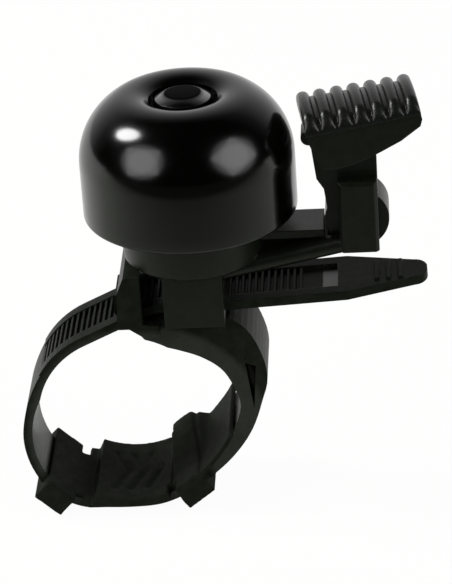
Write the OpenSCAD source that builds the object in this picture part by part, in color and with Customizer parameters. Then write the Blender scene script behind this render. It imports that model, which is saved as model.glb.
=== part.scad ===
// Strap-on bicycle bell: a gong on a moulded base, a spring-returned thumb lever with a hammer,
// and a toothed strap with a rubber liner that closes round the handlebar.
// Frame: the handlebar's axis is Y through the origin, Z is up, and the strap's tail points to +X.

/* [Handlebar] */
// Diameter of the handlebar that the strap closes round
bar_d = 31.8; // [25.4:0.1:35]

/* [Gong] */
// Outer diameter of the gong
gong_d = 38; // [34:0.5:42]
// Height of the gong's crest above its rim
gong_h = 22.4; // [20:0.2:26]
// Height of the gong's straight wall
gong_wall_h = 10.1; // [6:0.1:11]
// Sheet thickness of the gong
gong_t = 1.3; // [0.8:0.1:1.6]
// Radius of the rounded crest round the dimple
crest_r = 6.3; // [5:0.1:7]
// How much the crown's radius exceeds the crown's height
crown_extra = 1; // [0.6:0.1:2]
// Diameter of the dimple in the crown
dimple_d = 12.4; // [11:0.2:13.4]
// Depth of the dimple's floor below the crest
dimple_depth = 3.4; // [2.6:0.1:4.5]
// Distance of the gong's axis from the handlebar's axis
gong_x = 13.8; // [12:0.2:16]
// Height of the gong's rim above the handlebar's axis
rim_z = 37.8; // [37:0.2:42]

/* [Fixing bolt] */
// Diameter of the bolt's shank
bolt_d = 4; // [3:0.5:5]
// Diameter of the domed cap nut
cap_d = 10.2; // [8:0.2:10.6]
// Height of the cap nut's straight side
cap_side_h = 1.5; // [1:0.1:2]
// Height of the cap nut's dome above its side
cap_dome_h = 1.9; // [1:0.1:2.5]
// Thickness of the washer under the gong
washer_t = 0.8; // [0.5:0.1:1.2]
// Diameter of the washer under the gong
washer_d = 9; // [8:0.5:11]

/* [Base] */
// Diameter of the neck at its foot
neck_d = 24.8; // [22:0.2:27]
// How far the neck's top stands out past its foot, on the radius
neck_flare = 0.7; // [0:0.1:1.5]
// Height of the neck's foot above the handlebar's axis
neck_z = 29; // [28:0.1:30]
// Height of the neck
neck_h = 6.6; // [4:0.2:8]
// Diameter of the post that carries the gong, at its foot
post_d = 11; // [10:0.2:14]
// Width of the block under the neck
block_w = 10.6; // [9:0.2:12]
// Depth of the block, from front to back
block_y = 20.8; // [18:0.2:24]
// Thickness of the block's floor under the strap
block_floor = 1.4; // [1:0.1:1.6]

/* [Arm and fork] */
// Distance of the lever's pivot from the handlebar's axis, sideways
pivot_x = 43.2; // [42:0.1:46]
// Height of the lever's pivot above the handlebar's axis
pivot_z = 36.1; // [35:0.1:38]
// Width of the arm's top plate
plate_w = 8.6; // [7:0.2:10]
// Thickness of the arm's top plate
plate_t = 1.5; // [1:0.1:2]
// Height of the arm's top above the handlebar's axis
plate_z = 34.5; // [33:0.1:35]
// Thickness of the web between the plate and the lower rail
web_t = 4; // [3:0.2:6]
// Height of the arm's rounded lower rail
rail_h = 3.4; // [2.8:0.1:4]
// Angle at which the lower rail rises to the fork
rail_rise = 12; // [8:0.5:14]
// Width of a fork cheek
cheek_w = 6.9; // [6:0.1:8]
// Thickness of a fork cheek
cheek_t = 2.5; // [2:0.1:3]
// Height of a cheek's top above the pivot
cheek_top = 8.2; // [7:0.1:8.6]
// Depth of a cheek's foot below the pivot
cheek_foot = 5.3; // [5:0.1:6.5]
// Chamfer along a cheek's outer edges
cheek_bevel = 0.6; // [0.3:0.1:1]

/* [Lever] */
// Radius of the lever's hub
hub_r = 5.65; // [5:0.05:6]
// Length of the hub between the cheeks
hub_l = 7.4; // [6:0.2:8]
// Diameter of the pivot pin
pin_d = 3; // [2:0.1:3.6]
// Width of the lever under its ribbed grip
lever_w = 13.2; // [12:0.2:15]
// Length of the ribbed grip
grip_l = 20.2; // [19:0.2:22]
// Height of the grip's foot above the pivot, in the middle
grip_z = 19.2; // [18.6:0.1:20.4]
// Tilt of the grip, up to the free end
grip_tilt = 7; // [4:0.5:10]
// Turn of the grip about the vertical, its back end towards the gong
grip_yaw = 7; // [0:0.5:10]
// Number of ribs on the grip
ribs = 7; // [5:1:9]
// Radius of a rib
rib_r = 1.15; // [0.9:0.05:1.3]
// Thickness of the grip under its ribs
grip_t = 1.5; // [1.2:0.1:1.8]
// Radius of the crown across the grip
grip_crown_r = 22; // [18:1:40]
// Diameter of the hammer's round nose
hammer_d = 2.8; // [2:0.1:3.4]
// Length of the hammer
hammer_l = 5; // [4:0.2:7]
// Free gap between the hammer and the gong at rest
hammer_gap = 1.8; // [1.6:0.1:3]
// Wall of the lever between the hammer and the grip
hammer_roof = 0.8; // [0.5:0.1:1.2]

/* [Lever spring] */
// Wire diameter of the return spring
wire_d = 0.7; // [0.5:0.1:0.9]
// Number of turns of the return spring
spring_turns = 3; // [2:1:4]
// Mean diameter of the return spring
spring_d = 5; // [4.6:0.1:6]

/* [Strap] */
// Width of the strap
strap_w = 14; // [12:0.2:15]
// Thickness of the strap's band
strap_t = 1.7; // [1.4:0.1:2]
// Height of the band's underside where it runs through the block
band_z = 20.7; // [20.5:0.1:21.5]
// Angle on the handlebar at which the band leaves it for the head
leave_angle = 115; // [110:0.5:118]
// Angle on the handlebar at which the teeth begin
teeth_angle = 150; // [140:1:156]
// Tooth pitch
tooth_pitch = 1.16; // [1:0.02:1.4]
// Height of a tooth
tooth_h = 0.65; // [0.4:0.05:0.75]
// Width of the toothed channel
channel_w = 8.8; // [7:0.2:10]
// Reach of the tail past the handlebar's axis
tail_x = 55.3; // [54:0.1:60]
// Upward slope of the free tail
tail_slope = 3; // [0:0.5:4]
// Width of the head
head_w = 18.4; // [17.4:0.2:20]
// Length of the head along the strap
head_l = 4.7; // [4:0.1:5]

/* [Liner] */
// Width of the rubber liner
liner_w = 20.4; // [18:0.2:22]
// Length of a keeper along the strap
keeper_l = 6.1; // [5:0.1:7]
// Thickness of a keeper's wall over and under the strap
keeper_wall = 1.3; // [1:0.1:1.6]

/* [Clearances] */
// Gap where fixed pieces fit together
fit_gap = 0.15; // [0.1:0.05:0.25]
// Gap beside a moving piece
run_gap = 0.3; // [0.2:0.05:0.4]
// Gap round the pin in the lever, on the radius
pin_gap = 0.05; // [0.03:0.01:0.08]

/* [Hidden] */
$fn = 96;
black = [0.09, 0.09, 0.09];
gloss = [0.03, 0.03, 0.035];
steel = [0.62, 0.62, 0.64];
far = 200;

// Handlebar and gong
bar_r = bar_d / 2;
gong_r = gong_d / 2;
crown_r = gong_h - gong_wall_h + crown_extra;
crown_c = [gong_r - crown_r, gong_wall_h];
crest_z = gong_h - crest_r;
crest_x = crown_c[0] + sqrt(pow(crown_r - crest_r, 2) - pow(crest_z - gong_wall_h, 2));
crest_c = [crest_x, crest_z];
blend_angle = atan2(crest_c[1] - crown_c[1], crest_c[0] - crown_c[0]);
dimple_r = dimple_d / 2;
seat_z = gong_h - dimple_depth;

// Fixing bolt, in heights above the rim
bolt_r = bolt_d / 2;
post_top = seat_z - gong_t - washer_t;
bolt_head_r = bolt_r * 1.75;
bolt_head_h = bolt_r * 1.2;
bolt_top = seat_z + cap_side_h + cap_dome_h / 2;

// Base
neck_r = neck_d / 2;
band_top = band_z + strap_t;
block_z = band_z - fit_gap - block_floor;
tunnel_w = strap_w + 2 * fit_gap;
tunnel_h = strap_t + 2 * fit_gap;
fork_gap = hub_l / 2 + run_gap;
fork_w = 2 * (fork_gap + cheek_t);
hub_clear = hub_r + run_gap + 0.2;
rail_w = fork_w - 0.6;

// Lever
stem_left = -6.8;
stem_right = 3.8;
stem_foot = 8;
grip_x = 1;
grip_w = lever_w + 1;
rib_pitch = (grip_l - 2 * rib_r) / (ribs - 1);
grip_end_r = 2.2;
hammer_r = hammer_d / 2;
hammer_z = grip_z - grip_l / 2 * sin(grip_tilt) - hammer_roof - hammer_r;
hammer_y = -1;
gong_at_hammer = gong_x + crown_c[0]
    + sqrt(pow(crown_r, 2) - pow(pivot_z + hammer_z - rim_z - gong_wall_h, 2));
hammer_x = gong_at_hammer + hammer_gap + hammer_r;
pin_r = pin_d / 2;
pin_head_r = pin_r + 0.65;
pin_head_h = 0.9;
blind_wall = 0.9;
pocket_r = spring_d / 2 + wire_d / 2 + run_gap;
wire_pitch = wire_d + 0.2;
pocket_l = spring_turns * wire_pitch + wire_d + run_gap;
leg_l = 1.4;

// The loop round the handlebar, as [angle, gap to the handlebar, thickness]. The band lies on the
// handlebar at the upper left, stands off at the keepers and thickens to the saddle under the block.
bed = -0.3;
loop = [
    [110, bed, strap_t], [136, bed, strap_t], [160, bed, strap_t + 0.3], [178, 0.9, strap_t],
    [194, 2.2, strap_t], [212, 3.4, strap_t], [227, 4.1, strap_t], [242, 3.7, strap_t],
    [256, 2.3, strap_t], [270, 1.8, strap_t], [286, 2, strap_t], [306, 2, strap_t],
    [320, 1.9, strap_t + 0.5], [335, 2.5, strap_t + 1.1], [350, 3.8, strap_t + 1.5],
    [364, 4.9, strap_t + 2.2], [374, 4.5, strap_t + 4.6], [386, 3.9, strap_t + 6.2],
    [398, 2.4, strap_t + 8], [410, 0.8, strap_t + 8], [423, bed, strap_t + 6], [432, bed, strap_t + 4],
    [443, 1.6, strap_t]
];
left_keeper = 227;
right_keeper = 308;
saddle_z = block_z - fit_gap;
layer_t = keeper_wall - fit_gap - 0.3;
notch_w = 1.6;

// Upper run of the band: a tangent off the handlebar, a bend, and the level run to the tail
rise = leave_angle - 90;
bend_r = 8;
leave_p = bar_r * [cos(leave_angle), sin(leave_angle)];
leave_d = [cos(rise), sin(rise)];
leave_n = [cos(leave_angle), sin(leave_angle)];
tangent_l = (band_z - leave_p[1]) / leave_d[1] - bend_r * tan(rise / 2);
bend_c = leave_p + tangent_l * leave_d - bend_r * leave_n;
bend_l = bend_r * rise * PI / 180;
level_x = bend_c[0];
slope_x = gong_x + block_w / 2 + 1;
level_l = slope_x - level_x;
tail_l = (tail_x - slope_x) / cos(tail_slope);
band_l = tangent_l + bend_l + level_l + tail_l;
teeth_from = -(teeth_angle - leave_angle) * PI / 180 * bar_r;
bare_l = 21.6;
window_l = 4.6;
teeth_n = floor((band_l - bare_l - teeth_from) / tooth_pitch);
channel_t = strap_t - tooth_h - 0.15;
head_x = -0.3;
head_top = neck_z - run_gap;
pocket_d = 3.2;

// Smooth interpolation of a column of a table of stations
function station(t, a, i = 0) = i >= len(t) - 2 || a < t[i + 1][0] ? i : station(t, a, i + 1);
function steepness(t, k, i) = i == 0 || i == len(t) - 1 ? 0
    : (t[i + 1][k] - t[i - 1][k]) / (t[i + 1][0] - t[i - 1][0]);
function smooth(t, k, a) =
    let (i = station(t, a), h = t[i + 1][0] - t[i][0], u = (a - t[i][0]) / h)
    (2 * pow(u, 3) - 3 * u * u + 1) * t[i][k] + (pow(u, 3) - 2 * u * u + u) * h * steepness(t, k, i)
    + (3 * u * u - 2 * pow(u, 3)) * t[i + 1][k] + (pow(u, 3) - u * u) * h * steepness(t, k, i + 1);
function inner_r(a) = bar_r + smooth(loop, 1, a);
function outer_r(a) = inner_r(a) + smooth(loop, 2, a);
function polar(r, a) = r * [cos(a), sin(a)];

// Point and normal of the band's underside at a distance along it from where it leaves the handlebar
function band_at(s) =
    s < 0 ? let (a = leave_angle - s / bar_r * 180 / PI) [polar(bar_r, a), polar(1, a)]
    : s < tangent_l ? [leave_p + s * leave_d, leave_n]
    : s < tangent_l + bend_l ? let (a = leave_angle - (s - tangent_l) / bend_r * 180 / PI)
        [bend_c + polar(bend_r, a), polar(1, a)]
    : s < tangent_l + bend_l + level_l ? [[level_x + s - tangent_l - bend_l, band_z], [0, 1]]
    : let (d = s - tangent_l - bend_l - level_l)
        [[slope_x + d * cos(tail_slope), band_z + d * sin(tail_slope)], polar(1, 90 + tail_slope)];
function off_band(s, h) = let (b = band_at(s)) b[0] + h * b[1];

// A flat outline in X and Z, made solid across Y
module across(w) { rotate([90, 0, 0]) linear_extrude(w, center = true) children(); }
// A round bar along Y
module along_y(r, l) { rotate([90, 0, 0]) cylinder(r = r, h = l, center = true); }
module handlebar() { along_y(bar_r, far); }

// The region under the gong's outer surface, drawn in by t
module gong_region(t) {
    blend = crown_c + polar(crown_r - t, blend_angle);
    polygon([[0, 0], [gong_r - t, 0], [gong_r - t, gong_wall_h], blend, [crest_x, gong_h - t],
             [0, gong_h - t]]);
    intersection() {
        translate(crown_c) circle(crown_r - t);
        polygon([crown_c, crown_c + [far, 0], crown_c + polar(far, blend_angle)]);
    }
    intersection() {
        translate(crest_c) circle(crest_r - t);
        polygon([crest_c, crest_c + polar(far, blend_angle), crest_c + [0, far], crest_c + [-far, far],
                 crest_c + [-far, 0]]);
    }
}

module gong() {
    color(gloss) translate([gong_x, 0, rim_z]) rotate_extrude() difference() {
        union() {
            difference() {
                gong_region(0);
                difference() {
                    gong_region(gong_t);
                    translate([0, seat_z - gong_t]) square([dimple_r + gong_t, gong_h]);
                }
            }
        }
        translate([-far, seat_z]) square([far + dimple_r, gong_h]);
        translate([-far, -far]) square([far + bolt_r + fit_gap, 2 * far]);
    }
}

module cap_nut() {
    dome_r = (pow(cap_d / 2, 2) + pow(cap_dome_h, 2)) / (2 * cap_dome_h);
    color(gloss) translate([gong_x, 0, rim_z + seat_z]) difference() {
        union() {
            cylinder(d = cap_d, h = cap_side_h);
            intersection() {
                translate([0, 0, cap_side_h + cap_dome_h - dome_r]) sphere(dome_r);
                translate([0, 0, cap_side_h]) cylinder(d = cap_d, h = cap_dome_h);
            }
        }
        translate([0, 0, -1]) cylinder(r = bolt_r, h = bolt_top - seat_z + 1.2);
    }
}

module gong_washer() {
    color([0.75, 0.74, 0.7]) translate([gong_x, 0, rim_z + post_top]) difference() {
        cylinder(d = washer_d, h = washer_t);
        translate([0, 0, -1]) cylinder(r = bolt_r + fit_gap, h = washer_t + 2);
    }
}

module gong_bolt() {
    head_z = band_top + fit_gap + 0.5;
    color(steel) translate([gong_x, 0, 0]) {
        translate([0, 0, head_z]) cylinder(r = bolt_head_r, h = bolt_head_h, $fn = 6);
        translate([0, 0, head_z]) cylinder(r = bolt_r, h = rim_z + bolt_top - head_z);
    }
}

// Pocket and bore for the fixing bolt
module bolt_space() {
    head_z = band_top + fit_gap + 0.5;
    translate([0, 0, band_top]) cylinder(r = bolt_head_r + fit_gap, h = head_z - band_top + bolt_head_h, $fn = 6);
    cylinder(r = bolt_r + fit_gap, h = far);
}

module neck() {
    post_r = post_d / 2;
    translate([gong_x, 0, 0]) rotate_extrude() difference() {
        polygon([[0, neck_z], [neck_r - 0.8, neck_z], [neck_r, neck_z + 0.8],
                 [neck_r + neck_flare, neck_z + neck_h], [post_r + 1.2, neck_z + neck_h],
                 [post_r, neck_z + neck_h + 1.2], [washer_d / 2, rim_z + post_top], [0, rim_z + post_top]]);
        translate([-far, 0]) square([far, far]);
    }
}

module block() {
    difference() {
        translate([gong_x - block_w / 2, -block_y / 2, block_z]) cube([block_w, block_y, neck_z - block_z + 1]);
        translate([gong_x - block_w, -tunnel_w / 2, band_z - fit_gap]) cube([2 * block_w, tunnel_w, tunnel_h]);
    }
}

// The arm's lower rail: a bar with round edges that rises to the fork
module lower_rail() {
    l = 24;
    end = [pivot_x - 1.4, pivot_z - 3.9];
    r = rail_h / 2;
    translate([end[0], 0, end[1]]) rotate([0, -rail_rise, 0]) rotate([0, -90, 0])
        linear_extrude(l) {
            square([rail_h, rail_w - rail_h], center = true);
            for (m = [-1, 1]) translate([0, m * (rail_w - rail_h) / 2]) circle(r);
        }
}

// A fork cheek, with bevels along its outer edges
module cheek() {
    w = cheek_w / 2;
    h = cheek_top + cheek_foot;
    b = cheek_bevel * sqrt(2);
    difference() {
        translate([-w, -cheek_t, -cheek_foot]) cube([cheek_w, cheek_t, h]);
        for (x = [-w, w]) translate([x, -cheek_t, cheek_top - h / 2]) rotate([0, 0, 45])
            cube([b, b, 2 * h], center = true);
        translate([0, -cheek_t, cheek_top]) rotate([45, 0, 0]) cube([2 * cheek_w, b, b], center = true);
    }
}

module arm() {
    x0 = gong_x + 4;
    x1 = pivot_x - hub_clear + 0.3;
    difference() {
        union() {
            translate([x0, -plate_w / 2, plate_z - plate_t]) cube([x1 - x0, plate_w, plate_t]);
            across(web_t) polygon([[x0, neck_z], [x0, plate_z - 0.2], [x1, plate_z - 0.2],
                                   [x1, pivot_z - 5], [x0, neck_z - 2]]);
            intersection() {
                lower_rail();
                translate([gong_x + block_w / 2 - 1, -far / 2, 0]) cube([far, far, far]);
            }
            for (m = [0, 1]) mirror([0, m, 0]) translate([pivot_x + 0.3, -fork_gap, pivot_z]) cheek();
        }
        translate([pivot_x, 0, pivot_z]) along_y(hub_clear, 2 * fork_gap);
        translate([pivot_x - 4, -fork_gap, pivot_z]) cube([far, 2 * fork_gap, far]);
        translate([pivot_x - 1, -fork_gap, pivot_z - hub_clear - 0.4]) cube([far, 2 * fork_gap, far]);
    }
}

// Bores for the pin: blind in the front cheek, open in the back one
module pin_space() {
    y0 = -fork_gap - cheek_t + blind_wall;
    y1 = fork_gap + cheek_t;
    translate([pivot_x, 0, pivot_z]) rotate([-90, 0, 0]) {
        translate([0, 0, y0]) cylinder(r = pin_r, h = y1 - y0 + 1);
        translate([0, 0, y1 - pin_head_h]) cylinder(r = pin_head_r + fit_gap, h = pin_head_h + 1);
    }
}

module base() {
    color(black) difference() {
        union() {
            neck();
            block();
            arm();
        }
        translate([gong_x, 0, 0]) bolt_space();
        translate([gong_x - block_w, -tunnel_w / 2, band_z - fit_gap]) cube([2 * block_w, tunnel_w, tunnel_h]);
        pin_space();
        spring_leg(run_gap / 2);
    }
}

// Side view of the lever's stem, from the pivot
module stem_2d() {
    circle(hub_r);
    polygon([[stem_left + 1.2, 6], [stem_left, stem_foot], [stem_left - 0.8, 15], [stem_right, 15],
             [stem_right, 0], [0, -hub_r / 2], [-hub_r * 0.9, hub_r * 0.3]]);
}

// Side view of the flared skirt under the grip, in the grip's tilted frame
module skirt_2d() {
    l = grip_l / 2;
    gap = fit_gap / 3;
    polygon([[-l, -gap], [l, -gap], [l + 0.1, -1.2], [l - 0.4, -2.4], [6, -4.4], [2.2, -5.7], [-0.1, -6.4],
             [-2.9, -7], [-6, -7.2], [-l + 1.6, -6.7], [-l + 0.4, -2]]);
}

module in_grip() {
    translate([pivot_x + grip_x, 0, pivot_z + grip_z]) rotate([0, -grip_tilt, grip_yaw]) children();
}

module lever() {
    color(black) difference() {
        union() {
            translate([pivot_x, 0, pivot_z]) across(hub_l) stem_2d();
            in_grip() across(lever_w) skirt_2d();
        }
        translate([pivot_x, 0, pivot_z]) along_y(pin_r + pin_gap, far);
        translate([pivot_x, hub_l / 2 - pocket_l, pivot_z]) rotate([-90, 0, 0]) cylinder(r = pocket_r, h = far);
        translate([pivot_x, hub_l / 2 - wire_d / 2 - wire_pitch * spring_turns, pivot_z]) rotate([0, 90, 0])
            cylinder(r = wire_d / 2 + run_gap / 2, h = spring_d / 2 + leg_l + run_gap, $fn = 24);
        hammer_shape(fit_gap / 3);
    }
}

// Section across the grip: its ends are rounded over by r
module grip_end_2d(r) {
    y = grip_w / 2 - r;
    top = grip_t - grip_crown_r + sqrt(pow(grip_crown_r, 2) - y * y) + rib_r + 0.5;
    difference() {
        union() {
            translate([-y, 0]) square([2 * y, 3 * rib_r + grip_t]);
            translate([-grip_w / 2, -1]) square([grip_w, top - r + 1]);
            for (m = [-1, 1]) translate([m * y, top - r]) circle(r);
        }
        translate([-far, -2 * far]) square(2 * far);
    }
}

module thumb_grip() {
    c = grip_crown_r;
    span = asin(grip_w / 2 / c) + 2;
    plate_l = grip_l - rib_r / 2;
    color(black) in_grip() intersection() {
        union() {
            intersection() {
                translate([0, 0, grip_t - c]) rotate([0, 90, 0])
                    cylinder(r = c, h = plate_l, center = true, $fn = 480);
                translate([-grip_l, -grip_w, 0]) cube([2 * grip_l, 2 * grip_w, c]);
            }
            for (i = [0 : ribs - 1]) translate([rib_r - grip_l / 2 + i * rib_pitch, 0, grip_t - c])
                rotate([0, -90, 0]) rotate([0, 0, -span]) rotate_extrude(angle = 2 * span)
                    translate([c, 0]) circle(rib_r, $fn = 32);
        }
        rotate([90, 0, 90]) linear_extrude(2 * grip_l, center = true) grip_end_2d(grip_end_r);
    }
}

// The hammer's round bar and the tab that holds it in the lever, grown by g
module hammer_shape(g) {
    translate([hammer_x, hammer_y, pivot_z + hammer_z]) {
        along_y(hammer_r + g, hammer_l + 2 * g);
        translate([0, -hammer_l / 4 - g, -hammer_r / 2 - g])
            cube([hammer_r + 2 + g, hammer_l / 2 + 2 * g, hammer_r + 2 * g]);
    }
}

module hammer() { color(black) hammer_shape(0); }

module pivot_pin() {
    y0 = -fork_gap - cheek_t + blind_wall;
    y1 = fork_gap + cheek_t;
    color(steel) translate([pivot_x, 0, pivot_z]) rotate([-90, 0, 0]) {
        translate([0, 0, y0 + fit_gap]) cylinder(r = pin_r, h = y1 - y0 - fit_gap);
        translate([0, 0, y1 - pin_head_h]) cylinder(r = pin_head_r, h = pin_head_h);
    }
}

// Axial leg of the spring, which sits in the back cheek
module spring_leg(g) {
    y = hub_l / 2 - wire_d / 2;
    translate([pivot_x + spring_d / 2, y, pivot_z]) rotate([-90, 0, 0])
        cylinder(r = wire_d / 2 + g, h = wire_d / 2 + run_gap + leg_l + g, $fn = 24);
}

// The spring's coil, swept from rings set square to the wire
module coil() {
    per_turn = 20;
    sides = 8;
    n = spring_turns * per_turn;
    lead = wire_pitch * spring_turns;
    function ring(i) = [for (k = [0 : sides - 1])
        let (a = 360 * i / per_turn, b = 360 * k / sides, r = spring_d / 2 + wire_d / 2 * cos(b))
        [r * cos(a), r * sin(a), -lead * i / n + wire_d / 2 * sin(b)]];
    points = [for (i = [0 : n], p = ring(i)) p];
    sheath = [for (i = [0 : n - 1], k = [0 : sides - 1])
        [i * sides + k, i * sides + (k + 1) % sides, (i + 1) * sides + (k + 1) % sides, (i + 1) * sides + k]];
    polyhedron(points, concat([[for (k = [sides - 1 : -1 : 0]) k], [for (k = [0 : sides - 1]) n * sides + k]],
                              sheath), convexity = 8);
}

module lever_spring() {
    y = hub_l / 2 - wire_d / 2;
    color(steel) {
        translate([pivot_x, y, pivot_z]) rotate([-90, 0, 0]) coil();
        spring_leg(0);
        translate([pivot_x + spring_d / 2, y - wire_pitch * spring_turns, pivot_z]) rotate([0, 90, 0])
            cylinder(r = wire_d / 2, h = leg_l, $fn = 24);
    }
}

// Outline of the loop, grown by g on both faces
module loop_2d(a0, a1, g = 0) {
    step = 3;
    angles = [for (i = [0 : ceil((a1 - a0) / step)]) min(a0 + i * step, a1)];
    polygon(concat([for (a = angles) polar(inner_r(a) - g, a)],
                   [for (i = [len(angles) - 1 : -1 : 0]) polar(outer_r(angles[i]) + g, angles[i])]));
}

// Outline of the upper run between two distances, with its outer face at height h
module band_2d(s0, s1, h) {
    n = 60;
    ss = [for (i = [0 : n]) s0 + (s1 - s0) * i / n];
    polygon(concat([for (s = ss) off_band(s, s < 0 ? bed : 0)],
                   [for (i = [n : -1 : 0]) off_band(ss[i], h)]));
}

module teeth_2d() {
    w = tooth_pitch;
    for (i = [0 : teeth_n - 1]) {
        s = teeth_from + (i + 0.5) * w;
        polygon([off_band(s - 0.28 * w, channel_t - 0.1), off_band(s + 0.28 * w, channel_t - 0.1),
                 off_band(s + 0.18 * w, channel_t + tooth_h), off_band(s - 0.18 * w, channel_t + tooth_h)]);
    }
}

// The band's upper run: two rails, the toothed channel between them, and the bare tail
module band() {
    solid_from = band_l - bare_l + window_l + 1;
    intersection() {
        union() {
            for (m = [-1, 1]) translate([0, m * (strap_w + channel_w) / 4, 0])
                across((strap_w - channel_w) / 2) band_2d(teeth_from, band_l, strap_t);
            across(channel_w + 0.02) {
                band_2d(teeth_from, band_l, channel_t);
                band_2d(solid_from, band_l, strap_t);
                teeth_2d();
            }
            for (i = [0 : 2]) across(strap_w / 2) tail_rib_2d(band_l - 9 + 2.1 * i);
        }
        translate([0, 0, -far / 2]) linear_extrude(far) tail_plan();
    }
}

module tail_rib_2d(s) {
    polygon([off_band(s - 0.6, strap_t - 0.1), off_band(s + 0.6, strap_t - 0.1),
             off_band(s + 0.3, strap_t + 0.4), off_band(s - 0.3, strap_t + 0.4)]);
}

// Plan of the strap: parallel, then drawn in to a rounded tip
module tail_plan() {
    w = strap_w / 2;
    tip_w = strap_w * 0.24;
    tip_x = tail_x - 2.4;
    n = 10;
    side = concat([[tip_x - 12, w]], [for (i = [0 : n]) let (a = 90 * i / n)
        [tip_x + 2.4 * sin(a), tip_w * cos(a)]]);
    polygon(concat([[-far, -w], [-far, w]], side, [for (i = [n : -1 : 0]) [side[i][0], -side[i][1]]]));
}

// Side view of the head, which stands on the saddle's left end over the band. Its foot is lower
// between the side walls than on them.
module head_2d(lift) {
    x1 = head_x + head_l;
    polygon([[head_x, bar_r + 2.7], [2, bar_r + 1.5 + lift], [4.9, bar_r - 0.55 + lift],
             [x1 + 3, saddle_z - 3 + lift], [x1 + 3, saddle_z], [x1, saddle_z + 0.3], [x1, head_top],
             [head_x + 1.8, head_top], [head_x + 0.6, head_top - 2.8], [head_x + 0.4, head_top - 6.5]]);
}

// The way for the band through the head, with room for the pawl above the teeth
module head_space() {
    across(tunnel_w) polygon(concat([for (i = [0 : 12]) off_band(tangent_l * (0.3 + i / 12), -fit_gap)],
        [for (i = [12 : -1 : 0]) off_band(tangent_l * (0.3 + i / 12), strap_t + fit_gap)]));
    across(channel_w) polygon([off_band(tangent_l * 0.4, strap_t), off_band(tangent_l, strap_t),
                               off_band(tangent_l, strap_t + 3), off_band(tangent_l * 0.4, strap_t + 3)]);
}

// The pawl: a tongue from the head's roof whose edge drops between two teeth
module pawl() {
    s = teeth_from + ceil((tangent_l * 0.52 - teeth_from) / tooth_pitch) * tooth_pitch;
    across(channel_w - 2 * run_gap) polygon([off_band(s - 0.3, channel_t + 0.15), off_band(s + 0.2, channel_t + 0.15),
        off_band(s + 2.6, strap_t + 2), off_band(s + 2.6, strap_t + 3.4), off_band(s + 1.4, strap_t + 3.4),
        off_band(s - 0.3, strap_t + 0.8)]);
}

module strap() {
    tip = [gong_x + 9.4, 0.4];
    color(black) difference() {
        union() {
            across(strap_w) difference() {
                loop_2d(teeth_angle, 443);
                translate([-far / 2, saddle_z]) square(far);
            }
            band();
            difference() {
                union() {
                    across(strap_w) head_2d(0);
                    across(head_w) head_2d(1.2);
                }
                head_space();
            }
            pawl();
        }
        handlebar();
        for (m = [0, 1]) mirror([0, m, 0]) translate([0, -strap_w / 2, 0])
            across(2 * pocket_d) polygon([tip, tip + [0.7, 8.8], tip + [-1.2, 9.4]]);
    }
}

// Outline of the liner: a thin layer under the strap, thick down to the handlebar in the middle
module liner_2d() {
    a = [220, 246, 296, 350];
    function spread(i, j) = [for (k = [0 : 10]) a[i] + (a[j] - a[i]) * k / 10];
    function layer(angles, t) = [for (b = angles) polar(t > 0 ? inner_r(b) - fit_gap - t : bar_r + bed, b)];
    all = concat(spread(0, 1), spread(1, 2), spread(2, 3));
    polygon(concat(layer(spread(0, 1), layer_t), layer(spread(1, 2), 0), layer(spread(2, 3), layer_t),
                   [for (k = [len(all) - 1 : -1 : 0]) polar(inner_r(all[k]) - fit_gap, all[k])]));
}

module keeper_2d(a, inner) {
    rotate(a) translate([inner_r(a) - inner, -keeper_l / 2])
        square([strap_t + inner + keeper_wall, keeper_l]);
}

// Notches in the liner's edges, where it hinges beside the keepers
module notch(a) {
    for (m = [-1, 1]) rotate([0, -a, 0]) translate([bar_r, m * (strap_w / 2 + liner_w / 2 + 0.4), 0])
        cube([12, liner_w, notch_w], center = true);
}

module liner() {
    color(black) difference() {
        union() {
            across(liner_w) liner_2d();
            across(liner_w) keeper_2d(left_keeper, keeper_wall);
            across(liner_w) keeper_2d(right_keeper, keeper_wall + 0.5);
        }
        across(strap_w + 2 * fit_gap) loop_2d(200, 345, fit_gap * 0.6);
        handlebar();
        notch(left_keeper + 12);
        notch(right_keeper - 11.5);
        for (i = [-1 : 1], m = [-1, 1]) rotate([0, -i * 11 - 3, 0]) translate([0, m * liner_w / 6.4, -bar_r])
            rotate([0, 0, m * 112]) cube([liner_w / 2.8, 0.9, 1.1], center = true);
    }
}

gong();
cap_nut();
gong_washer();
gong_bolt();
base();
lever();
thumb_grip();
hammer();
pivot_pin();
lever_spring();
strap();
liner();
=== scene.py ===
"""A small black bicycle bell: a gloss gong, a ribbed thumb lever and a toothed handlebar strap."""

import math

import bpy
from mathutils import Matrix, Vector


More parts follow.
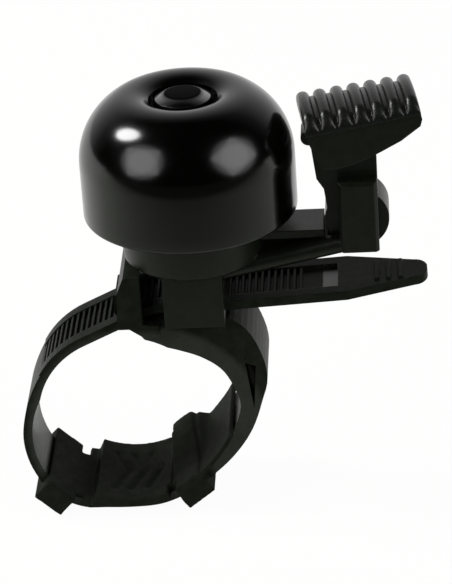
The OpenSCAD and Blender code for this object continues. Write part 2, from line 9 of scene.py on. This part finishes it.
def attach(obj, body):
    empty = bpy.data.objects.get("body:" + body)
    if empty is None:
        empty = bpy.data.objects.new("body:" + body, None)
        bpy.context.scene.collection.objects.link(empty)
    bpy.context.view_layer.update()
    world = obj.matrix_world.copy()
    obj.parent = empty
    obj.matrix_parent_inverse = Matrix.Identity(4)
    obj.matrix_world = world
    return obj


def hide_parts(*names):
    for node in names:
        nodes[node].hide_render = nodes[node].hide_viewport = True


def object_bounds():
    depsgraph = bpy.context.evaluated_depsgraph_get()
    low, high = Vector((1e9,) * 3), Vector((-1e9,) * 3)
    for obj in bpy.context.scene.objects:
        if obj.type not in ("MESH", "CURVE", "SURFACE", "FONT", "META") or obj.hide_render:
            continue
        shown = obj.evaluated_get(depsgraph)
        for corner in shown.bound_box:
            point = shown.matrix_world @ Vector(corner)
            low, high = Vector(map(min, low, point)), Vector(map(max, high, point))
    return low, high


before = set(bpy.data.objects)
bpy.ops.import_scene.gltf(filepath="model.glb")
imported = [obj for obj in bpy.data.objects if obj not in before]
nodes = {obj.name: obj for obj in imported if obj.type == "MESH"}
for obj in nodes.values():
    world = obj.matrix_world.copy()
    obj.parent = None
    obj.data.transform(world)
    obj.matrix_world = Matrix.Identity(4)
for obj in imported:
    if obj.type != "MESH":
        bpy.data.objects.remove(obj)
cad_low, cad_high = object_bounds()

# Lengths are in mm unless a comment says metres, and angles are in degrees
MM = 0.001
# Points of a piece that are closer than this, in metres, are one
WELD = 1e-6

# The gong, as the part's source has it, rounded: heights are above its rim
GONG_X = 13.8
RIM_Z = 37.8
GONG_R = 19.0
WALL_H = 10.1
SHEET = 1.3
CROWN_R = 13.3
CROWN_C = (GONG_R - CROWN_R, WALL_H)
CREST_R = 6.3
CREST_C = (9.3, 16.1)
SEAT_Z = 19.0
DIMPLE_R = 6.2
# The gong's finer forms: its rolled rim, the lip and funnel that lead down to the dimple, a bolt
# hole a little wider than the solid's, the dimple's edge underneath, and the rim's inner edge, as
# (distance from the bore, height) pairs
RIM_ROLL = 0.65
WALL_RINGS = (2.5, 5.0, 7.5)
LIP_FROM = 96
LIP_TO = 124
LIP_R = 4.5
WELL_R = 6.1
BOLT_HOLE_R = 2.3
INNER_CREST_FROM = 105
INNER_CUP_TOP = 20.7
CUP_EDGE = (0.6, 0.5)
INNER_RIM = ((0.0, 5.0), (0.0, 0.4), (0.12, 0.1), (0.4, 0.0))
GONG_SIDES = 192
GONG_SHARP = 35

# The cap nut: each face is an arc's radius and the slope where it ends, from the middle outwards.
# Within its foot's inner ring it is closed by a flat disc, which doesn't show
CAP_R = 5.1
CAP_H = 3.4
CAP_FOOT_IN = 2.05
CAP_FACES = ((50.0, 3), (2.2, 23), (10.1, 33.5), (0.25, 90))
CAP_FOOT = ((CAP_R - 0.25, 0.02), (CAP_R - 0.05, 0.12), (CAP_R, 0.35))
CAP_SIDES = 128
# Where the cap's satin turns to polish and back again, within the span that the finish covers
POLISH_IN = (3.2, 4.0)
POLISH_OUT = (4.8, 4.9)
CAP_SPAN = 6.0

# The ribbed grip: its place, its pad, what thickens the pad at each end, and its ribs
GRIP_PLACE = (44.2, 0.0, 55.3)
GRIP_TILT = 7
GRIP_YAW = 7
GRIP_L = 20.2
GRIP_W = 14.2
GRIP_CROWN = 22.0
GRIP_PLATE = 1.5
GRIP_ROLL = 2.6
GRIP_FOOT = 0.3
GRIP_WEDGE = (1.4, 0.7)
GRIP_SHARP = 50
GRIP_GRID = (232, 112)
RIBS = 7
RIB_R = 1.15

# The rubber liner: its even mesh, its worn tread and the keeper that stands up at the back.
# Each pair is where a change begins and where it is complete, in degrees round the bar or mm
LINER_MESH = 0.2
LINER_RELAX = 12
TREAD_WEAR = 40
SMOOTHING = 0.5
TREAD_START = (249, 255)
TREAD_END = (289, 293)
TREAD_DEPTH = (16.7, 17.3)
TREAD_SIDE = (8.6, 9.4)
KEEPER_LIFT = 2.7
KEEPER_START = (294.5, 298.5)
KEEPER_END = (321, 325)
KEEPER_DEPTH = (16.0, 18.2)
KEEPER_ACROSS = (-6.0, 9.0)

# The strap's finish: the circle that the loop's inner face follows on the left, where the smooth
# face ends beyond it, and how each face shines
LOOP_C = (3.8, 0.0, -4.0)
LOOP_R = 21.1
LOOP_EDGE = (0.2, 1.4)
LOOP_SHEEN = 0.36
STRAP_SHEEN = 0.02
STRAP_SPAN = 40.0
# Smooth end of the floor of the window in the strap's tail
WINDOW_X = 37.9
WINDOW_L = 2.6
WINDOW_W = 8.7
WINDOW_EDGE = 0.05
WINDOW_SHEEN = 0.5

# Grain in the finishes: the part of the noise that is used, marks per metre, and the bump's depth
GRAIN_LOW = 0.3
GRAIN_HIGH = 0.7
GRAIN_ROUGH = 0.55
PLASTIC_MOTTLE = 520.0
PLASTIC_GRAIN = 2600.0
RUBBER_GRAIN = 1800.0
GRAIN_DEPTH = 0.03
GRAIN_STRENGTH = 0.7
DULLNESS_SPREAD = 0.06
EDGE_SAMPLES = 6

# The stage, in metres: the floor, how light it is from front to back, and the room with it
FLOOR_SIZE = 12
FLOOR_DROP = 0.0002
FLOOR_GLOW = 1.03
FLOOR_SEEN = 0.93
FLOOR_NEAR = (-0.22, -0.02)
# The floor's matte tint from front to back: painted shade, near black in front for the dim room
# there
FLOOR_SHADED_TINTS = ((0.0, (0.018, 0.022, 0.014)), (1.0, (0.61, 0.64, 0.56)))
FLOOR_BACK = (-0.05, 0.15)
# How much the floor glows in the piece's reflections from front to back: a painted reflection, dark
# in front and bright behind
FLOOR_REFLECTED_GLOW = ((0.15, 0.04), (0.28, 0.12), (0.45, 0.55), (0.75, 0.85))
COVE_LEVELS = ((0.6, 0.004), (0.72, 0.1), (0.82, 0.35), (0.915, 0.6), (1.0, 0.9))
# The lamps, in metres: an umbrella's layers are a name, a shape, a share of its width and a level
LAMP_AIM = Vector((0.02, 0.0, 0.035))
LAMP_AWAY = 1.2
LAYER_GAP = 0.01
UMBRELLA_LAYERS = (
    ("edge", "ELLIPSE", 1.0, 1.0),
    ("cloth", "RECTANGLE", 0.74, 1.7),
    ("middle", "ELLIPSE", 0.6, 0.9),
)

# The camera, fitted to the photograph: its place in metres, its axes, and its lens in pixels
CAMERA_PLACE = Vector((0.05064, -0.47848, 0.26682))
CAMERA_RIGHT = Vector((0.9976, 0.0347, -0.0607))
CAMERA_UP = Vector((0.0381, 0.4591, 0.8876))
FOCAL_PX = 3000.0
PHOTO_H = 584.0
SENSOR_H = 36.0


# Shaping


def deselect():
    """Leaves nothing selected, so that an operator touches only the new piece."""
    if bpy.context.object and bpy.context.object.mode != "OBJECT":
        bpy.ops.object.mode_set(mode="OBJECT")
    bpy.ops.object.select_all(action="DESELECT")


def pick(piece):
    """Selects one piece alone and makes it the active one."""
    deselect()
    piece.select_set(True)
    bpy.context.view_layer.objects.active = piece


def face_outwards():
    """Turns every face of the piece being edited outwards."""
    bpy.ops.mesh.select_all(action="SELECT")
    bpy.ops.mesh.normals_make_consistent(inside=False)


def apply_place():
    """Takes the active piece's place, turn and scale into its points."""
    bpy.ops.object.transform_apply(location=True, rotation=True, scale=True)


def arc(centre, radius, start, end, steps):
    """Points on an arc, both ends included."""
    points = []
    for i in range(steps + 1):
        a = math.radians(start + (end - start) * i / steps)
        points.append((centre[0] + radius * math.cos(a), centre[1] + radius * math.sin(a)))
    return points


def ease(value, low, high):
    """A smooth step from 0 at low to 1 at high."""
    t = min(max((value - low) / (high - low), 0.0), 1.0)
    return t * t * (3 - 2 * t)


def turn_up(name, rings, base_z, sides):
    """Raises a round shell on the gong's axis, from (radius, height above base_z) pairs."""
    deselect()
    r, h = rings[0]
    bpy.ops.mesh.primitive_circle_add(
        vertices=sides, radius=r * MM, location=(GONG_X * MM, 0, (base_z + h) * MM)
    )
    piece = bpy.context.object
    piece.name = name
    apply_place()
    bpy.ops.object.mode_set(mode="EDIT")
    bpy.ops.mesh.select_all(action="SELECT")
    for nr, nh in rings[1:]:
        bpy.ops.mesh.extrude_region_move(TRANSFORM_OT_translate={"value": (0, 0, (nh - h) * MM)})
        k = nr / r
        bpy.ops.transform.resize(
            value=(k, k, 1), center_override=(GONG_X * MM, 0, (base_z + nh) * MM)
        )
        r, h = nr, nh
    bpy.ops.mesh.select_all(action="SELECT")
    bpy.ops.mesh.remove_doubles(threshold=WELD)
    face_outwards()
    bpy.ops.object.mode_set(mode="OBJECT")
    bpy.ops.object.shade_smooth()
    return piece


# Finishes


def new_material(name):
    """A node material with its shader, and the place on the piece for its grain."""
    material = bpy.data.materials.new(name)
    material.use_nodes = True
    tree = material.node_tree
    shader = tree.nodes["Principled BSDF"]
    place = tree.nodes.new("ShaderNodeTexCoord")
    return material, tree, shader, place.outputs["Object"]


def coat(piece, material):
    """Gives a piece one finish all over."""
    piece.data.materials.clear()
    piece.data.materials.append(material)


def noise(tree, place, scale, detail):
    """Grain at a scale given in marks per metre."""
    node = tree.nodes.new("ShaderNodeTexNoise")
    node.inputs["Scale"].default_value = scale
    node.inputs["Detail"].default_value = detail
    node.inputs["Roughness"].default_value = GRAIN_ROUGH
    tree.links.new(place, node.inputs["Vector"])
    return node.outputs["Fac"]


def remap(tree, source, start, end, low=0.0, high=1.0):
    """A number that runs from low to high as the source goes from start to end."""
    node = tree.nodes.new("ShaderNodeMapRange")
    node.inputs["From Min"].default_value = start
    node.inputs["From Max"].default_value = end
    node.inputs["To Min"].default_value = low
    node.inputs["To Max"].default_value = high
    tree.links.new(source, node.inputs["Value"])
    return node.outputs["Result"]


def colours(tree, source, steps):
    """A colour that follows the source through (position, colour) steps, in rising order."""
    node = tree.nodes.new("ShaderNodeValToRGB")
    stops = node.color_ramp.elements
    for i, (position, colour) in enumerate(steps):
        stop = stops[i] if i < 2 else stops.new(1.0)
        stop.position = position
        stop.color = (*colour, 1)
    tree.links.new(source, node.inputs["Fac"])
    return node.outputs["Color"]


def greys(tree, source, steps):
    """A level that follows the source through (position, level) steps, in rising order."""
    return colours(tree, source, [(position, (level,) * 3) for position, level in steps])


def grain_colour(tree, shader, grain, dark, light):
    """Colours a finish from dark to light with its grain."""
    steps = ((GRAIN_LOW, dark), (GRAIN_HIGH, light))
    tree.links.new(colours(tree, grain, steps), shader.inputs["Base Color"])


def grain_dullness(tree, shader, grain, low, high):
    """Dulls a finish from low to high with its grain."""
    level = remap(tree, grain, GRAIN_LOW, GRAIN_HIGH, low, high)
    tree.links.new(level, shader.inputs["Roughness"])


def bump(tree, shader, height, depth, strength, normal=None):
    """Raises the grain a little, over the given surface direction if there is one."""
    node = tree.nodes.new("ShaderNodeBump")
    node.inputs["Strength"].default_value = strength
    node.inputs["Distance"].default_value = depth * MM
    tree.links.new(height, node.inputs["Height"])
    if normal is not None:
        tree.links.new(normal, node.inputs["Normal"])
    tree.links.new(node.outputs["Normal"], shader.inputs["Normal"])


def off_axis(tree, place, centre, keep):
    """Distance from an axis through centre, in metres: keep is 1 across the axis, 0 along it."""
    middle = tree.nodes.new("ShaderNodeMapping")
    middle.inputs["Location"].default_value = tuple(-c * MM for c in centre)
    tree.links.new(place, middle.inputs["Vector"])
    flat = tree.nodes.new("ShaderNodeVectorMath")
    flat.operation = "MULTIPLY"
    flat.inputs[1].default_value = keep
    tree.links.new(middle.outputs["Vector"], flat.inputs[0])
    away = tree.nodes.new("ShaderNodeVectorMath")
    away.operation = "LENGTH"
    tree.links.new(flat.outputs["Vector"], away.inputs[0])
    return away.outputs["Value"]


def bands(tree, away, steps, span):
    """A level that changes with distance: steps are (distance, level) pairs within the span."""
    share = remap(tree, away, 0.0, span * MM)
    return greys(tree, share, [(distance / span, level) for distance, level in steps])


def sums(tree, operation, *values):
    """One step of arithmetic on sockets or plain numbers."""
    node = tree.nodes.new("ShaderNodeMath")
    node.operation = operation
    for i, value in enumerate(values):
        if isinstance(value, float):
            node.inputs[i].default_value = value
        else:
            tree.links.new(value, node.inputs[i])
    return node.outputs["Value"]


def gloss_paint():
    """Black paint with a slight flow in it."""
    material, tree, shader, place = new_material("gloss_black_paint")
    flow = noise(tree, place, 260.0, 2.0)
    grain_colour(tree, shader, flow, (0.0004, 0.0005, 0.0003), (0.0007, 0.0008, 0.0006))
    grain_dullness(tree, shader, flow, 0.14, 0.16)
    bump(tree, shader, flow, 0.01, 0.04)
    return material


def cap_finish():
    """Satin, with a polished ring on the cap's shoulder."""
    material, tree, shader, place = new_material("cap_black")
    away = off_axis(tree, place, (GONG_X, 0, 0), (1, 1, 0))
    for socket, satin, polished in (("Specular IOR Level", 0.002, 1.0), ("Roughness", 0.4, 0.12)):
        levels = (satin, polished, polished, satin)
        ring = bands(tree, away, tuple(zip(POLISH_IN + POLISH_OUT, levels)), CAP_SPAN)
        tree.links.new(ring, shader.inputs[socket])
    shader.inputs["IOR"].default_value = 2.2
    cloud = noise(tree, place, 900.0, 3.0)
    grain_colour(tree, shader, cloud, (0.0008, 0.001, 0.0007), (0.0013, 0.0015, 0.0011))
    return material


def moulding(name, dark, light, dullness, edge, grain=PLASTIC_GRAIN):
    """A mottled, finely grained finish whose edges look rounded; its sheen is still to be set."""
    material, tree, shader, place = new_material(name)
    fine = noise(tree, place, grain, 5.0)
    grain_colour(tree, shader, noise(tree, place, PLASTIC_MOTTLE, 5.0), dark, light)
    low, high = dullness - DULLNESS_SPREAD, dullness + DULLNESS_SPREAD
    grain_dullness(tree, shader, fine, low, high)
    soft_edge = tree.nodes.new("ShaderNodeBevel")
    soft_edge.samples = EDGE_SAMPLES
    soft_edge.inputs["Radius"].default_value = edge * MM
    bump(tree, shader, fine, GRAIN_DEPTH, GRAIN_STRENGTH, soft_edge.outputs["Normal"])
    return material, tree, shader.inputs["Specular IOR Level"], place


def body_plastic():
    """The base's, lever's and hammer's plastic."""
    dark, light = (0.0038, 0.005, 0.0024), (0.0072, 0.0086, 0.0052)
    material, _, sheen, _ = moulding("body_plastic", dark, light, 0.36, 0.3)
    sheen.default_value = 0.26
    return material


def grip_plastic():
    """The grip's smoother plastic."""
    dark, light = (0.005, 0.006, 0.0044), (0.008, 0.0092, 0.0072)
    material, _, sheen, _ = moulding("grip_plastic", dark, light, 0.3, 0.12)
    sheen.default_value = 0.42
    return material


def strap_finish():
    """Dull outside, smoother inside the loop and on the floor of the tail's window."""
    dark, light = (0.009, 0.0106, 0.0074), (0.0168, 0.019, 0.0142)
    material, tree, sheen, place = moulding("strap_plastic", dark, light, 0.32, 0.2)
    loop_away = off_axis(tree, place, LOOP_C, (1, 0, 1))
    loop_steps = ((LOOP_R + LOOP_EDGE[0], LOOP_SHEEN), (LOOP_R + LOOP_EDGE[1], STRAP_SHEEN))
    along = off_axis(tree, place, (WINDOW_X, 0, 0), (1, 0, 0))
    along_steps = ((WINDOW_L / 2, WINDOW_SHEEN), (WINDOW_L / 2 + WINDOW_EDGE, 0.0))
    aside = off_axis(tree, place, (0, 0, 0), (0, 1, 0))
    aside_steps = ((WINDOW_W / 2, 1.0), (WINDOW_W / 2 + WINDOW_EDGE, 0.0))
    window = sums(
        tree,
        "MULTIPLY",
        bands(tree, along, along_steps, STRAP_SPAN),
        bands(tree, aside, aside_steps, STRAP_SPAN),
    )
    loop_inside = bands(tree, loop_away, loop_steps, STRAP_SPAN)
    tree.links.new(sums(tree, "ADD", loop_inside, window), sheen)
    return material


def liner_rubber():
    """The liner's dull rubber."""
    dark, light = (0.0096, 0.011, 0.0078), (0.0162, 0.018, 0.0135)
    material, _, sheen, _ = moulding("liner_rubber", dark, light, 0.5, 0.3, RUBBER_GRAIN)
    sheen.default_value = 0.015
    return material


def brushed_steel():
    """Plain steel with fine lines round it."""
    material, tree, shader, place = new_material("plain_steel")
    stretch = tree.nodes.new("ShaderNodeMapping")
    stretch.inputs["Scale"].default_value = (1, 0.05, 1)
    tree.links.new(place, stretch.inputs["Vector"])
    lines = noise(tree, stretch.outputs["Vector"], 4000.0, 3.0)
    grain_colour(tree, shader, lines, (0.42, 0.42, 0.43), (0.56, 0.56, 0.57))
    grain_dullness(tree, shader, lines, 0.28, 0.4)
    shader.inputs["Metallic"].default_value = 1.0
    return material


def natural_nylon():
    """Undyed nylon, slightly cloudy."""
    material, tree, shader, place = new_material("natural_nylon")
    cloud = noise(tree, place, 500.0, 3.0)
    grain_colour(tree, shader, cloud, (0.62, 0.6, 0.55), (0.72, 0.7, 0.66))
    grain_dullness(tree, shader, cloud, 0.45, 0.55)
    return material


# The gong: a spun shell with a rolled rim and a lip that leads down to its dimple


def gong_profile():
    """The sheet's section: up the outside, down into the dimple, and back along the inside."""
    blend = math.degrees(math.atan2(CREST_C[1] - CROWN_C[1], CREST_C[0] - CROWN_C[0]))
    outer = arc((GONG_R - RIM_ROLL, RIM_ROLL), RIM_ROLL, -90, 0, 6)
    outer += [(GONG_R, h) for h in WALL_RINGS]
    outer += arc(CROWN_C, CROWN_R, 0, blend, 22)
    outer += arc(CREST_C, CREST_R, blend, LIP_FROM, 12)[1:]
    a = math.radians(LIP_FROM)
    reach = CREST_R - LIP_R
    lip_c = (CREST_C[0] + reach * math.cos(a), CREST_C[1] + reach * math.sin(a))
    outer += arc(lip_c, LIP_R, LIP_FROM, LIP_TO, 12)[1:]
    funnel_r, funnel_z = outer[-1]
    well_z = funnel_z - (funnel_r - WELL_R) * math.tan(math.radians(LIP_TO - 90))
    dimple = [(WELL_R, well_z), (WELL_R, SEAT_Z), (BOLT_HOLE_R, SEAT_Z)]
    cup_r = DIMPLE_R + SHEET
    cup_z = SEAT_Z - SHEET
    under = [
        (BOLT_HOLE_R, cup_z),
        (cup_r - CUP_EDGE[0], cup_z),
        (cup_r, cup_z + CUP_EDGE[1]),
        (cup_r, INNER_CUP_TOP),
    ]
    bore = GONG_R - SHEET
    inside = arc(CREST_C, CREST_R - SHEET, INNER_CREST_FROM, blend, 8)
    inside += arc(CROWN_C, CROWN_R - SHEET, blend, 0, 12)[1:]
    inside += [(bore + away, h) for away, h in INNER_RIM]
    return outer + dimple + under + inside + [outer[0]]


gong_shell = turn_up("gong_shell", gong_profile(), RIM_Z, GONG_SIDES)
bpy.ops.object.shade_smooth_by_angle(angle=math.radians(GONG_SHARP))
coat(gong_shell, gloss_paint())
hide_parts("gong")
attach(gong_shell, "bell")

# The cap nut: a nearly flat face, a sloping shoulder, a small roll and a rolled foot


def cap_profile():
    """The cap's section, from its foot up and over to its middle."""
    points = [(0.0, CAP_H)]
    slope = 0
    for radius, end in CAP_FACES:
        r, h = points[-1]
        a = math.radians(slope)
        centre = (r - radius * math.sin(a), h - radius * math.cos(a))
        points += arc(centre, radius, 90 - slope, 90 - end, 8)[1:]
        slope = end
    return [(CAP_FOOT_IN, CAP_FOOT[0][1]), *CAP_FOOT, *reversed(points[1:])]


cap_dome = turn_up("cap_dome", cap_profile(), RIM_Z + SEAT_Z, CAP_SIDES)
pick(cap_dome)
bpy.ops.object.mode_set(mode="EDIT")
bpy.ops.mesh.select_all(action="SELECT")
bpy.ops.mesh.region_to_loop()
bpy.ops.mesh.fill_holes(sides=0)
face_outwards()
bpy.ops.object.mode_set(mode="OBJECT")
coat(cap_dome, cap_finish())
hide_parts("cap_nut")
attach(cap_dome, "bell")

# The ribbed grip: a crowned pad whose ribs and grooves roll over its front and back edges


def grip_height(x, y):
    """Height of the grip's upper face above its foot."""
    pitch = (GRIP_L - 2 * RIB_R) / (RIBS - 1)
    i = min(max(round((x + GRIP_L / 2 - RIB_R) / pitch), 0), RIBS - 1)
    aside = x - (RIB_R - GRIP_L / 2 + i * pitch)
    rib = math.sqrt(max(RIB_R**2 - aside**2, 0.0))
    along = x / GRIP_L + 0.5
    wedge = GRIP_WEDGE[0] + (GRIP_WEDGE[1] - GRIP_WEDGE[0]) * along
    crown = GRIP_PLATE + wedge - GRIP_CROWN + math.sqrt(GRIP_CROWN**2 - y**2)
    inset = min((GRIP_W / 2 - abs(y)) / GRIP_ROLL, 1.0)
    roll = math.sqrt(max(1 - (1 - inset) ** 2, 0.0))
    return GRIP_FOOT + (crown - GRIP_FOOT + rib) * roll


def make_ribbed_grip():
    """A fine grid pushed up into ribs, with its edge drawn down to a flat foot."""
    deselect()
    bpy.ops.mesh.primitive_grid_add(
        x_subdivisions=GRIP_GRID[0], y_subdivisions=GRIP_GRID[1], size=2
    )
    piece = bpy.context.object
    piece.name = "ribbed_grip"
    piece.scale = (GRIP_L / 2 * MM, GRIP_W / 2 * MM, 1)
    apply_place()
    for vertex in piece.data.vertices:
        vertex.co.z = grip_height(vertex.co.x / MM, vertex.co.y / MM) * MM
    bpy.ops.object.mode_set(mode="EDIT")
    bpy.ops.mesh.select_mode(type="EDGE")
    bpy.ops.mesh.select_all(action="SELECT")
    bpy.ops.mesh.region_to_loop()
    bpy.ops.mesh.extrude_region_move(TRANSFORM_OT_translate={"value": (0, 0, 0)})
    bpy.ops.transform.resize(value=(1, 1, 0), center_override=(0, 0, 0))
    bpy.ops.mesh.edge_face_add()
    face_outwards()
    bpy.ops.object.mode_set(mode="OBJECT")
    piece.matrix_world = (
        Matrix.Translation(Vector(GRIP_PLACE) * MM)
        @ Matrix.Rotation(math.radians(GRIP_YAW), 4, "Z")
        @ Matrix.Rotation(math.radians(-GRIP_TILT), 4, "Y")
    )
    apply_place()
    bpy.ops.object.shade_smooth_by_angle(angle=math.radians(GRIP_SHARP))
    return piece


ribbed_grip = make_ribbed_grip()
coat(ribbed_grip, grip_plastic())
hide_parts("thumb_grip")
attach(ribbed_grip, "striker")

# The rubber liner: the solid's form, rounded as rubber is, worn in its tread and lifted at a keeper


def round_the_bar(point):
    """A point's distance from the handlebar's axis, its angle round it and its place across."""
    x, y, z = point / MM
    return math.hypot(x, z), math.degrees(math.atan2(z, x)) % 360, y


def smooth(piece, name, passes, group=""):
    """Relaxes a piece's points, in one group of them or all over."""
    pick(piece)
    relax = piece.modifiers.new(name, "SMOOTH")
    relax.vertex_group = group
    relax.factor = SMOOTHING
    relax.iterations = passes
    bpy.ops.object.modifier_apply(modifier=name)


def soften(node, name):
    """A copy of a node's form, remeshed finely and relaxed so that its edges are round."""
    piece = bpy.data.objects.new(name, nodes[node].data.copy())
    bpy.context.scene.collection.objects.link(piece)
    pick(piece)
    bpy.ops.object.mode_set(mode="EDIT")
    bpy.ops.mesh.select_all(action="SELECT")
    bpy.ops.mesh.remove_doubles(threshold=WELD)
    bpy.ops.object.mode_set(mode="OBJECT")
    remesh = piece.modifiers.new("even_mesh", "REMESH")
    remesh.mode = "VOXEL"
    remesh.voxel_size = LINER_MESH * MM
    bpy.ops.object.modifier_apply(modifier="even_mesh")
    smooth(piece, "relax", LINER_RELAX)
    bpy.ops.object.shade_smooth()
    return piece


def fade_grooves(piece):
    """Wears the tread's grooves down to shallow marks."""
    tread = piece.vertex_groups.new(name="tread")
    for vertex in piece.data.vertices:
        r, angle, y = round_the_bar(vertex.co)
        weight = ease(angle, *TREAD_START) * (1 - ease(angle, *TREAD_END))
        weight *= (1 - ease(r, *TREAD_DEPTH)) * (1 - ease(abs(y), *TREAD_SIDE))
        if weight > 0:
            tread.add([vertex.index], weight, "REPLACE")
    smooth(piece, "wear", TREAD_WEAR, "tread")


def lift_keeper(piece):
    """Lifts the right keeper's inner wall off the strap at the back, as free rubber stands."""
    for vertex in piece.data.vertices:
        r, angle, y = round_the_bar(vertex.co)
        held = ease(angle, *KEEPER_START) * (1 - ease(angle, *KEEPER_END))
        held *= ease(y, *KEEPER_ACROSS) * (1 - ease(r, *KEEPER_DEPTH))
        pull = (r - KEEPER_LIFT * held) / r
        vertex.co.x *= pull
        vertex.co.z *= pull


rubber_liner = soften("liner", "rubber_liner")
fade_grooves(rubber_liner)
lift_keeper(rubber_liner)
coat(rubber_liner, liner_rubber())
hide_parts("liner")
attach(rubber_liner, "bell")

# Finishes of the solids that show as they are

body_finish = body_plastic()
steel = brushed_steel()
for name, finish in (
    ("base", body_finish),
    ("lever", body_finish),
    ("hammer", body_finish),
    ("strap", strap_finish()),
    ("gong_bolt", steel),
    ("pivot_pin", steel),
    ("lever_spring", steel),
    ("gong_washer", natural_nylon()),
):
    coat(nodes[name], finish)

# The stage: a pale floor, a white cove behind it, a dim room in front and three soft lamps

scene = bpy.context.scene
scene.view_settings.view_transform = "Standard"


def seen_straight(tree, path):
    """1 for a ray that the camera sees straight or through a clear piece, and 0 for the rest."""
    return sums(tree, "ADD", path.outputs["Is Camera Ray"], path.outputs["Is Transmission Ray"])


def mix_surfaces(tree, output, share, first, second):
    """Ends a node tree with two surfaces, the second one showing by the share."""
    mix = tree.nodes.new("ShaderNodeMixShader")
    tree.links.new(share, mix.inputs["Fac"])
    tree.links.new(first, mix.inputs[1])
    tree.links.new(second, mix.inputs[2])
    out = tree.nodes.new(output)
    tree.links.new(mix.outputs["Shader"], out.inputs["Surface"])


def front_to_back(tree, kind):
    """The front-to-back part of a place or a direction."""
    place = tree.nodes.new("ShaderNodeTexCoord")
    split = tree.nodes.new("ShaderNodeSeparateXYZ")
    tree.links.new(place.outputs[kind], split.inputs["Vector"])
    return split.outputs["Y"]


def floor_finish():
    """White where it is seen straight with a little shadow; the piece sees painted shade in front,
    glow behind.
    """
    material = bpy.data.materials.new("studio_white")
    material.use_nodes = True
    tree = material.node_tree
    tree.nodes.clear()
    depth = front_to_back(tree, "Object")
    matte = tree.nodes.new("ShaderNodeBsdfDiffuse")
    # Painted shade: the matte floor darkens towards the front
    shaded_tint = colours(tree, remap(tree, depth, *FLOOR_NEAR), FLOOR_SHADED_TINTS)
    tree.links.new(shaded_tint, matte.inputs["Color"])
    glow = tree.nodes.new("ShaderNodeEmission")
    glow.inputs["Color"].default_value = (1, 1, 1, 1)
    glow.inputs["Strength"].default_value = FLOOR_GLOW
    path = tree.nodes.new("ShaderNodeLightPath")
    # Painted reflection: the floor glows in the piece's reflections, more towards the back
    reflected_glow = greys(tree, remap(tree, depth, *FLOOR_BACK), FLOOR_REFLECTED_GLOW)
    seen = sums(tree, "MULTIPLY", seen_straight(tree, path), FLOOR_SEEN)
    lit = sums(tree, "MULTIPLY_ADD", path.outputs["Is Glossy Ray"], reflected_glow, seen)
    mix_surfaces(
        tree, "ShaderNodeOutputMaterial", lit, matte.outputs["BSDF"], glow.outputs["Emission"]
    )
    return material


def make_surround():
    """A white background, and for all other rays a room that is dark in front and pale behind."""
    world = bpy.data.worlds.new("studio_surround")
    world.use_nodes = True
    tree = world.node_tree
    tree.nodes.clear()
    white = tree.nodes.new("ShaderNodeBackground")
    white.inputs["Color"].default_value = (1, 1, 1, 1)
    white.inputs["Strength"].default_value = 1.0
    room = tree.nodes.new("ShaderNodeBackground")
    room.inputs["Strength"].default_value = 1.0
    cove = greys(tree, remap(tree, front_to_back(tree, "Generated"), -1.0, 1.0), COVE_LEVELS)
    tree.links.new(cove, room.inputs["Color"])
    straight = seen_straight(tree, tree.nodes.new("ShaderNodeLightPath"))
    mix_surfaces(
        tree,
        "ShaderNodeOutputWorld",
        straight,
        room.outputs["Background"],
        white.outputs["Background"],
    )
    return world


def soft_lamp(name, shape, turn, rise, distance, width, height, brightness, roll):
    """A soft lamp: turn is from the front to the right, rise above the floor, roll on its beam."""
    turn, rise = math.radians(turn), math.radians(rise)
    flat = math.cos(rise)
    way = Vector((math.sin(turn) * flat, -math.cos(turn) * flat, math.sin(rise)))
    lamp = bpy.data.lights.new(name, "AREA")
    lamp.shape = shape
    lamp.size = width
    lamp.size_y = height
    area = width * height * (math.pi / 4 if shape == "ELLIPSE" else 1)
    lamp.energy = brightness * math.pi * area
    obj = bpy.data.objects.new(name, lamp)
    scene.collection.objects.link(obj)
    obj.location = LAMP_AIM + way * distance
    rolled = Matrix.Rotation(math.radians(roll), 3, "Z")
    obj.rotation_euler = (way.to_track_quat("Z", "Y").to_matrix() @ rolled).to_euler()


def umbrella(name, turn, rise, width, roll):
    """A lamp in a white umbrella: a dim round edge, a square of cloth and a brighter middle."""
    for i, (layer, shape, share, brightness) in enumerate(UMBRELLA_LAYERS):
        side = width * share
        away = LAMP_AWAY - LAYER_GAP * i
        soft_lamp(f"{name}_{layer}", shape, turn, rise, away, side, side, brightness, roll)


deselect()
floor_z = cad_low[2] - FLOOR_DROP
bpy.ops.mesh.primitive_plane_add(size=FLOOR_SIZE, location=(0, 0, floor_z))
floor = bpy.context.object
floor.name = "studio_floor"
coat(floor, floor_finish())
scene.world = make_surround()
soft_lamp(
    "left_key",
    "ELLIPSE",
    turn=-97,
    rise=44,
    distance=LAMP_AWAY,
    width=0.32,
    height=0.52,
    brightness=22.0,
    roll=-40,
)
umbrella("left_umbrella", turn=-51, rise=28, width=1.04, roll=20)
umbrella("right_umbrella", turn=61, rise=26, width=1.12, roll=20)

# The camera

right = CAMERA_RIGHT.normalized()
back = right.cross(CAMERA_UP.normalized()).normalized()
up = back.cross(right)
lens = bpy.data.cameras.new("camera")
lens.sensor_fit = "VERTICAL"
lens.sensor_height = SENSOR_H
lens.lens = FOCAL_PX * SENSOR_H / PHOTO_H
lens.clip_start = 0.01
lens.clip_end = 50.0
camera = bpy.data.objects.new("camera", lens)
scene.collection.objects.link(camera)
turned = Matrix((right, up, back)).transposed().to_4x4()
camera.matrix_world = Matrix.Translation(CAMERA_PLACE) @ turned
scene.camera = camera
